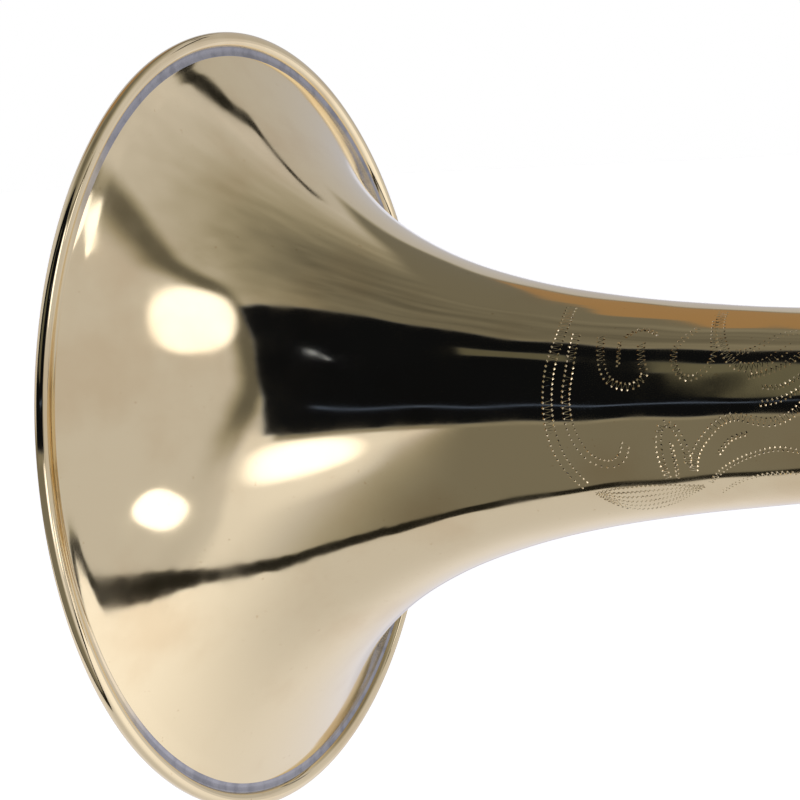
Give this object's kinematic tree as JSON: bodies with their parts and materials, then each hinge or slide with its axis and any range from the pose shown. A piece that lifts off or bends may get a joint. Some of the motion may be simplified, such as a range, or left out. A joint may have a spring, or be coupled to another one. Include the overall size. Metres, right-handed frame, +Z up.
{
  "type": "flugelhorn",
  "caption": "Conical brass flugelhorn with a wide flared bell, piston valves on its right, valve slides, water keys, sliding leadpipe and cup mouthpiece.",
  "frame": {"origin": "centre of the bell's mouth, on the bell's axis and in the plane of its rim", "axes": "+X along the bell's axis back to the player, +Z up along the valves, -Y the player's left"},
  "size_m": [0.503, 0.1638, 0.191],
  "materials": {
    "bell_brass": "polished and lacquered, engraved on the left side",
    "tube_brass": "polished and lacquered",
    "casing_brass": "lacquered, fine turned finish",
    "nickel_silver": "polished nickel silver",
    "silver_plate": "polished silver plate on brass",
    "piston_monel": "lapped nickel alloy",
    "spring_steel": "drawn wire",
    "rim_solder": "iron wire under smoothed soft solder",
    "pearl": "mother-of-pearl, polished",
    "felt": "pressed wool felt",
    "cork": "natural cork"
  },
  "bodies": {
    "horn": {"bell": "bell_brass", "rim_wire": "rim_solder", "branch_ferrules": "nickel_silver", "rear_bow": "tube_brass", "lower_branch": "tube_brass", "front_bow": "tube_brass", "front_branch": "tube_brass", "bell_braces": "tube_brass", "lower_braces": "tube_brass", "valve_casing_1": "casing_brass", "valve_casing_2": "casing_brass", "valve_casing_3": "casing_brass", "valve_knuckles": "tube_brass", "top_caps": "nickel_silver", "bottom_caps": "nickel_silver", "cap_felts": "felt", "spring_1": "spring_steel", "spring_2": "spring_steel", "spring_3": "spring_steel", "slide_1_sleeves": "nickel_silver", "slide_2_sleeves": "nickel_silver", "slide_3_sleeves": "nickel_silver", "slide_3_stop_lug": "nickel_silver", "leadpipe_sleeve": "nickel_silver", "clamp_collar": "nickel_silver", "finger_hook": "tube_brass", "lyre_socket": "nickel_silver", "water_key_1_saddle": "tube_brass", "water_key_1_spring": "spring_steel"},
    "leadpipe": {"leadpipe": "tube_brass", "mouthpiece_receiver": "tube_brass"},
    "mouthpiece": {"mouthpiece": "silver_plate"},
    "clamp_screw": {"clamp_screw": "nickel_silver"},
    "lyre_screw": {"lyre_screw": "nickel_silver"},
    "slide_1": {"slide_1_legs": "nickel_silver", "slide_1_crook": "tube_brass"},
    "slide_2": {"slide_2_legs": "nickel_silver", "slide_2_crook": "tube_brass"},
    "slide_3": {"slide_3_legs": "nickel_silver", "slide_3_crook": "tube_brass", "slide_3_ring": "nickel_silver", "slide_3_stop_rod": "nickel_silver", "water_key_2_saddle": "tube_brass", "water_key_2_spring": "spring_steel"},
    "water_key_1": {"water_key_1_lever": "nickel_silver", "water_key_1_cork": "cork"},
    "water_key_2": {"water_key_2_lever": "nickel_silver", "water_key_2_cork": "cork"},
    "valve_1": {"piston_1": "piston_monel", "stem_1": "nickel_silver", "button_1": "nickel_silver", "pearl_1": "pearl"},
    "valve_2": {"piston_2": "piston_monel", "stem_2": "nickel_silver", "button_2": "nickel_silver", "pearl_2": "pearl"},
    "valve_3": {"piston_3": "piston_monel", "stem_3": "nickel_silver", "button_3": "nickel_silver", "pearl_3": "pearl"}
  },
  "joints": [
    {"name": "valve_1_press", "type": "slide", "parent": "horn", "child": "valve_1", "axis": [0, 0, -1], "range_m": [0, 0.017], "stiffness_N_per_m": 100, "springref_m": -0.022, "deforming": ["spring_1"]},
    {"name": "valve_2_press", "type": "slide", "parent": "horn", "child": "valve_2", "axis": [0, 0, -1], "range_m": [0, 0.017], "stiffness_N_per_m": 100, "springref_m": -0.022, "deforming": ["spring_2"]},
    {"name": "valve_3_press", "type": "slide", "parent": "horn", "child": "valve_3", "axis": [0, 0, -1], "range_m": [0, 0.017], "stiffness_N_per_m": 100, "springref_m": -0.022, "deforming": ["spring_3"]},
    {"name": "slide_1_pull", "type": "slide", "parent": "horn", "child": "slide_1", "axis": [1, 0, 0], "range_m": [0, 0.03]},
    {"name": "slide_2_pull", "type": "slide", "parent": "horn", "child": "slide_2", "axis": [0, 1, 0], "range_m": [0, 0.015]},
    {"name": "slide_3_pull", "type": "slide", "parent": "horn", "child": "slide_3", "axis": [-1, 0, 0], "range_m": [0, 0.028]},
    {"name": "leadpipe_tune", "type": "slide", "parent": "horn", "child": "leadpipe", "axis": [1, 0, 0], "range_m": [0, 0.02]},
    {"name": "mouthpiece_pull", "type": "slide", "parent": "leadpipe", "child": "mouthpiece", "axis": [1, 0, 0], "range_m": [0, 0.025]},
    {"name": "clamp_screw_turn", "type": "hinge", "parent": "horn", "child": "clamp_screw", "pos_m": [0.3655, 0.028, -0.022], "axis": [0, -1, 0], "range_deg": [0, 180]},
    {"name": "lyre_screw_turn", "type": "hinge", "parent": "horn", "child": "lyre_screw", "pos_m": [0.322, 0.028, -0.017], "axis": [0, -1, 0], "range_deg": [0, 180]},
    {"name": "water_key_1_press", "type": "hinge", "parent": "horn", "child": "water_key_1", "pos_m": [0.199, 0, -0.10835], "axis": [0, -1, 0], "range_deg": [0, 15], "stiffness_Nm_per_rad": 0.01, "springref_deg": -34.38},
    {"name": "water_key_2_press", "type": "hinge", "parent": "slide_3", "child": "water_key_2", "pos_m": [0.157, 0.0472, -0.0594], "axis": [0, -1, 0], "range_deg": [0, 15], "stiffness_Nm_per_rad": 0.01, "springref_deg": -34.38}
  ]
}
